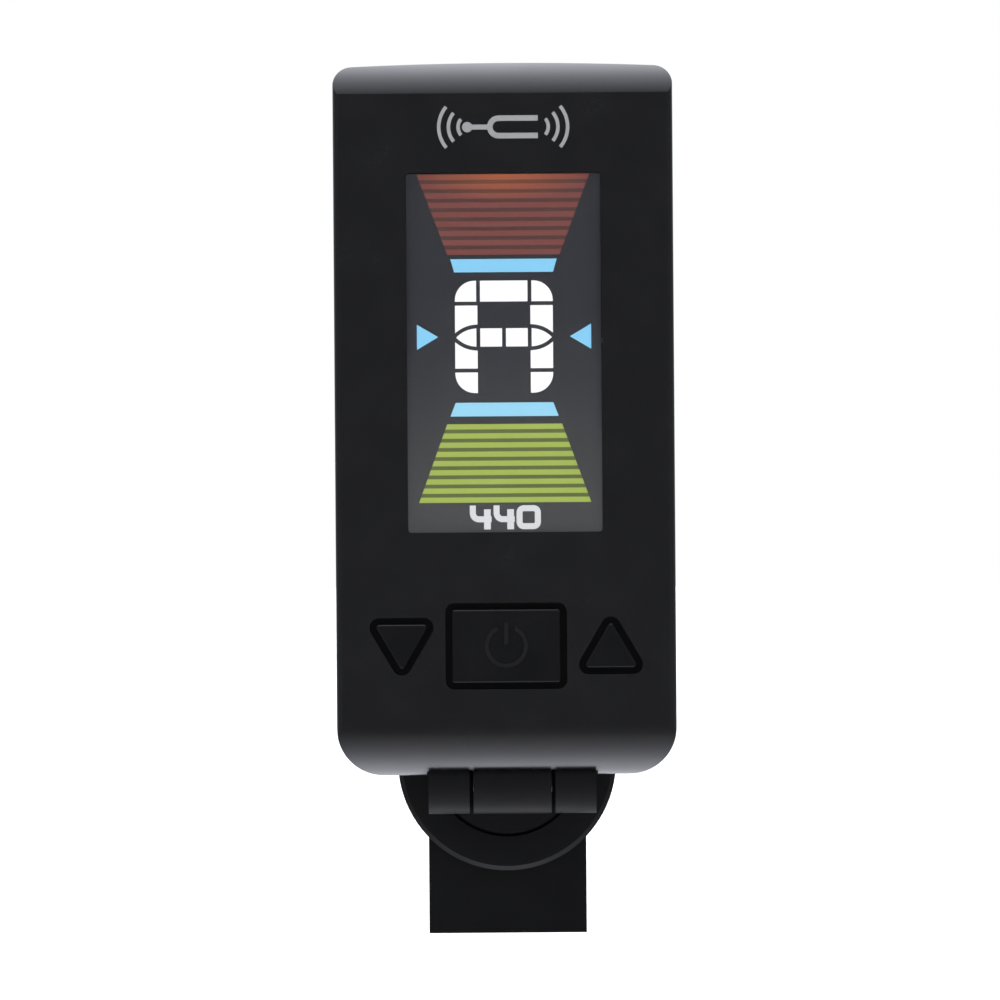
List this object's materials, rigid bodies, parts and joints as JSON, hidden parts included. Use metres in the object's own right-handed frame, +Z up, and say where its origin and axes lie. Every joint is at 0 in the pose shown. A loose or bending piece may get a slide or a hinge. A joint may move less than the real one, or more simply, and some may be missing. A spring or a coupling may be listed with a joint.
{
  "type": "clip-on instrument tuner",
  "caption": "Black clip-on tuner: slim upright colour display housing with power and arrow keys on a tilting, swivelling hinge, carried by a sprung clip with rubber jaw pads.",
  "frame": {"origin": "middle of the clip's grip, halfway between the two rubber pads", "axes": "+X to the right seen from the display side, +Y from the front pad towards the rear pad (the display faces -Y), +Z up along the housing"},
  "size_m": [0.026, 0.0302, 0.0674],
  "materials": {
    "housing": "satin gloss",
    "window": "clear gloss",
    "white_plastic": "matt",
    "display_glass": "gloss",
    "polariser": "satin",
    "acrylic": "clear",
    "lamp": "matt",
    "flex_film": "satin",
    "board": "satin",
    "chip": "matt",
    "keys": "satin",
    "brass": "satin",
    "ceramic_disc": "matt",
    "wire": "satin",
    "steel": "brushed",
    "black_steel": "satin",
    "hinge_black": "satin",
    "clip_black": "matt",
    "rubber": "matt"
  },
  "bodies": {
    "clip_front": {"front_arm": "clip_black", "front_pad": "rubber", "pivot_pin": "steel", "torsion_spring": "steel"},
    "clip_rear": {"rear_arm": "clip_black", "rear_pad": "rubber"},
    "swivel": {"turntable": "hinge_black", "swivel_washer": "steel", "swivel_screw": "steel"},
    "display": {"front_shell": "housing", "rear_shell": "housing", "display_window": "window", "lcd_holder": "white_plastic", "lcd_glass": "display_glass", "lcd_polariser": "polariser", "light_guide": "acrylic", "backlight_leds": "lamp", "lcd_flex": "flex_film", "circuit_board": "board", "microcontroller": "chip", "microcontroller_leads": "steel", "crystal": "steel", "chip_components": "chip", "tact_switches": "chip", "piezo_plate": "brass", "piezo_ceramic": "ceramic_disc", "piezo_leads": "wire", "coin_cell": "steel", "battery_contact_positive": "steel", "battery_contact_negative": "steel", "shell_screws": "black_steel", "hinge_bracket": "hinge_black", "hinge_pin": "steel", "hinge_washers": "hinge_black"},
    "door": {"battery_door": "housing"},
    "power_key": {"power_button": "keys", "power_plunger": "keys"},
    "down_key": {"down_button": "keys", "down_plunger": "keys"},
    "up_key": {"up_button": "keys", "up_plunger": "keys"}
  },
  "joints": [
    {"name": "clip_open", "type": "hinge", "parent": "clip_front", "child": "clip_rear", "pos_m": [0, 0, -0.024], "axis": [-1, 0, 0], "range_deg": [0, 30], "stiffness_Nm_per_rad": 0.09, "springref_deg": -31.51, "deforming": ["torsion_spring"]},
    {"name": "display_swivel", "type": "hinge", "parent": "clip_front", "child": "swivel", "pos_m": [0, -0.00605, -0.03], "axis": [0, 1, 0], "continuous": true},
    {"name": "display_tilt", "type": "hinge", "parent": "swivel", "child": "display", "pos_m": [0.0004, -0.0144, -0.03138], "axis": [1, 0, 0], "range_deg": [0, 130]},
    {"name": "door_slide", "type": "slide", "parent": "display", "child": "door", "axis": [0, 0, 1], "range_m": [0, 0.028]},
    {"name": "power_press", "type": "slide", "parent": "display", "child": "power_key", "axis": [0, 1, 0], "range_m": [0, 0.0003], "stiffness_N_per_m": 1500, "springref_m": -0.0006},
    {"name": "down_press", "type": "slide", "parent": "display", "child": "down_key", "axis": [0, 1, 0], "range_m": [0, 0.0003], "stiffness_N_per_m": 1500, "springref_m": -0.0006},
    {"name": "up_press", "type": "slide", "parent": "display", "child": "up_key", "axis": [0, 1, 0], "range_m": [0, 0.0003], "stiffness_N_per_m": 1500, "springref_m": -0.0006}
  ]
}
